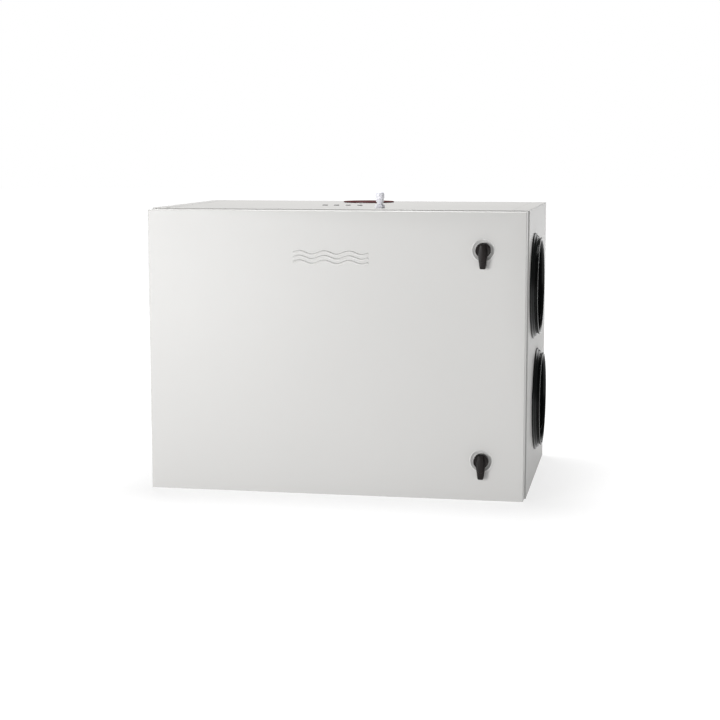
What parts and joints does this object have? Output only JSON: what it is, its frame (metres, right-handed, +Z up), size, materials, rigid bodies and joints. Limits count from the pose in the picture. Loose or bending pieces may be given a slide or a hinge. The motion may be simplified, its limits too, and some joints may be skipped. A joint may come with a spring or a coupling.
{
  "type": "heat recovery unit",
  "caption": "Insulated air handling cabinet with a hinged front door, side duct spigots, a rotary heat exchanger, plug fans, filters and a reheater.",
  "frame": {"origin": "centre of the casing's footprint, on its underside; the 0.645 m depth counts the door", "axes": "+X to the right seen from the door, along the ducts; the door faces -Y; +Z up"},
  "size_m": [1.019, 0.664, 0.778],
  "materials": {
    "painted_steel": "satin off-white powder coat",
    "lined_board": "mineral wool board with a galvanised facing",
    "door_lining": "galvanised sheet",
    "foam": "mineral wool",
    "galvanised_steel": "galvanised sheet with a faint spangle",
    "deck_board": "foil faced insulated shelf",
    "black_plastic": "gloss",
    "dark_plastic": "satin moulded",
    "bright_steel": "zinc plated",
    "rotor_foil": "corrugated aluminium foil, mostly air",
    "aluminium_casting": "cast",
    "rubber_seal": "matte",
    "motor_black": "satin black enamel",
    "red_plastic": "satin",
    "grey_rubber": "matte",
    "light_plastic": "satin",
    "filter_paper": "matte",
    "circuit_board": "satin"
  },
  "bodies": {
    "casing": {"back_insulation": "lined_board", "back_panel": "painted_steel", "bottom_insulation": "lined_board", "bottom_panel": "painted_steel", "controller_board": "circuit_board", "controller_cover": "galvanised_steel", "controller_tray": "galvanised_steel", "drive_belt": "rubber_seal", "drive_motor": "motor_black", "duct_left_lower": "black_plastic", "duct_left_upper": "black_plastic", "duct_right_lower": "black_plastic", "duct_right_upper": "black_plastic", "exhaust_fan_motor": "motor_black", "exhaust_fan_plate": "galvanised_steel", "extract_filter": "filter_paper", "extract_filter_rail": "galvanised_steel", "gland_body": "light_plastic", "gland_nut": "light_plastic", "grommet_strip": "grey_rubber", "heater_frame": "galvanised_steel", "heater_rod": "bright_steel", "hood_collar": "galvanised_steel", "left_deck": "deck_board", "left_insulation": "lined_board", "left_panel": "painted_steel", "lower_wall_leaf": "bright_steel", "outdoor_filter": "filter_paper", "outdoor_filter_rail": "galvanised_steel", "right_deck": "deck_board", "right_insulation": "lined_board", "right_panel": "painted_steel", "rotor_axle": "bright_steel", "rotor_housing": "galvanised_steel", "supply_fan_motor": "motor_black", "supply_fan_plate": "galvanised_steel", "top_insulation": "lined_board", "top_panel": "painted_steel", "upper_wall_leaf": "bright_steel"},
    "door": {"door_skin": "painted_steel", "door_insulation": "foam", "door_liner": "door_lining", "door_gasket": "rubber_seal", "lower_door_leaf": "bright_steel", "upper_door_leaf": "bright_steel", "upper_latch_dish": "painted_steel", "lower_latch_dish": "painted_steel"},
    "upper_latch": {"upper_latch_knob": "dark_plastic", "upper_latch_cam": "bright_steel"},
    "lower_latch": {"lower_latch_knob": "dark_plastic", "lower_latch_cam": "bright_steel"},
    "rotor": {"rotor_hub": "aluminium_casting", "rotor_matrix": "rotor_foil", "rotor_rim": "galvanised_steel", "left_bearing": "bright_steel", "right_bearing": "bright_steel"},
    "pulley": {"drive_pulley": "dark_plastic"},
    "exhaust_wheel": {"exhaust_impeller": "dark_plastic"},
    "supply_wheel": {"supply_impeller": "dark_plastic"},
    "hood_plug": {"hood_cap": "red_plastic"}
  },
  "joints": [
    {"name": "door_hinge", "type": "hinge", "parent": "casing", "child": "door", "pos_m": [-0.4955, -0.2755, 0.3675], "axis": [0, 0, -1], "range_deg": [0, 150]},
    {"name": "upper_latch_turn", "type": "hinge", "parent": "door", "child": "upper_latch", "pos_m": [0.38, -0.3225, 0.637], "axis": [0, -1, 0], "range_deg": [0, 90]},
    {"name": "lower_latch_turn", "type": "hinge", "parent": "door", "child": "lower_latch", "pos_m": [0.38, -0.3225, 0.1055], "axis": [0, -1, 0], "range_deg": [0, 90]},
    {"name": "rotor_spin", "type": "hinge", "parent": "casing", "child": "rotor", "pos_m": [0, 0.0045, 0.37331], "axis": [1, 0, 0], "continuous": true},
    {"name": "pulley_spin", "type": "hinge", "parent": "casing", "child": "pulley", "pos_m": [0, -0.18642, 0.18239], "axis": [1, 0, 0], "continuous": true},
    {"name": "exhaust_fan_spin", "type": "hinge", "parent": "casing", "child": "exhaust_wheel", "pos_m": [0.2, 0.0045, 0.53916], "axis": [1, 0, 0], "continuous": true},
    {"name": "supply_fan_spin", "type": "hinge", "parent": "casing", "child": "supply_wheel", "pos_m": [-0.2, 0.0045, 0.20166], "axis": [-1, 0, 0], "continuous": true},
    {"name": "hood_cap_pull", "type": "slide", "parent": "casing", "child": "hood_plug", "axis": [0, 0, 1], "range_m": [0, 0.03]}
  ],
  "couplings": [
    {"joint": "pulley_spin", "follows": "rotor_spin", "ratio": 10.673}
  ]
}
